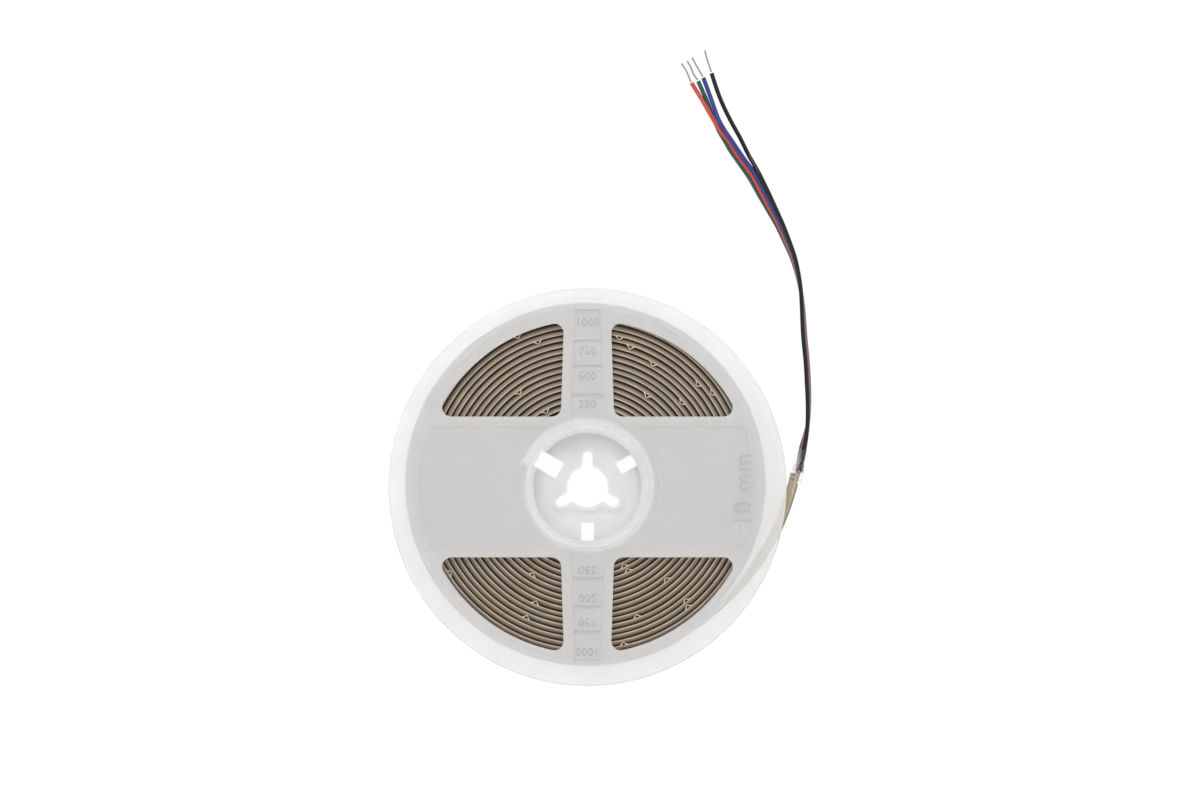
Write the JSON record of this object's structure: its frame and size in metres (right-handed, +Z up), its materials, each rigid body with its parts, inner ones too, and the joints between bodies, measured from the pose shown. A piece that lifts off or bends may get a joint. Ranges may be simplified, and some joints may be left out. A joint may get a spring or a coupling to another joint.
{
  "type": "cob led strip",
  "caption": "Roll of flexible COB LED strip wound on edge on a flat two-part moulded reel, with a soldered flat four-core lead lying beside it.",
  "frame": {"origin": "middle of the footprint of the reel and the strip's tail, on the surface that the reel lies on; the reel's axis stands 4.02 mm from it towards -X", "axes": "+Z up along the reel's axis, +X towards the side where the strip's tail leaves, +Y towards the stripped ends of the lead"},
  "size_m": [0.1382, 0.2082, 0.0138],
  "materials": {
    "reel_plastic": "moulded translucent white polystyrene, satin",
    "strip_board": "white solder mask on flexible polyimide",
    "strip_bead": "frosted silicone bead",
    "release_liner": "coated tan paper on adhesive tape",
    "clear_sleeve": "clear heat-shrunk polyolefin",
    "solder": "bright solder",
    "core_black": "extruded PVC insulation",
    "core_blue": "extruded PVC insulation",
    "core_red": "extruded PVC insulation",
    "core_green": "extruded PVC insulation",
    "tinned_copper": "dull tinned copper strands"
  },
  "bodies": {
    "root": {"reel_lower_half": "reel_plastic", "reel_upper_half": "reel_plastic", "strip_board": "strip_board", "strip_bead": "strip_bead", "strip_liner": "release_liner", "heat_shrink_sleeve": "clear_sleeve", "solder_joint_black": "solder", "solder_joint_blue": "solder", "solder_joint_red": "solder", "solder_joint_green": "solder", "lead_core_black": "core_black", "lead_core_blue": "core_blue", "lead_core_red": "core_red", "lead_core_green": "core_green", "tinned_end_black": "tinned_copper", "tinned_end_blue": "tinned_copper", "tinned_end_red": "tinned_copper", "tinned_end_green": "tinned_copper"}
  },
  "joints": []
}
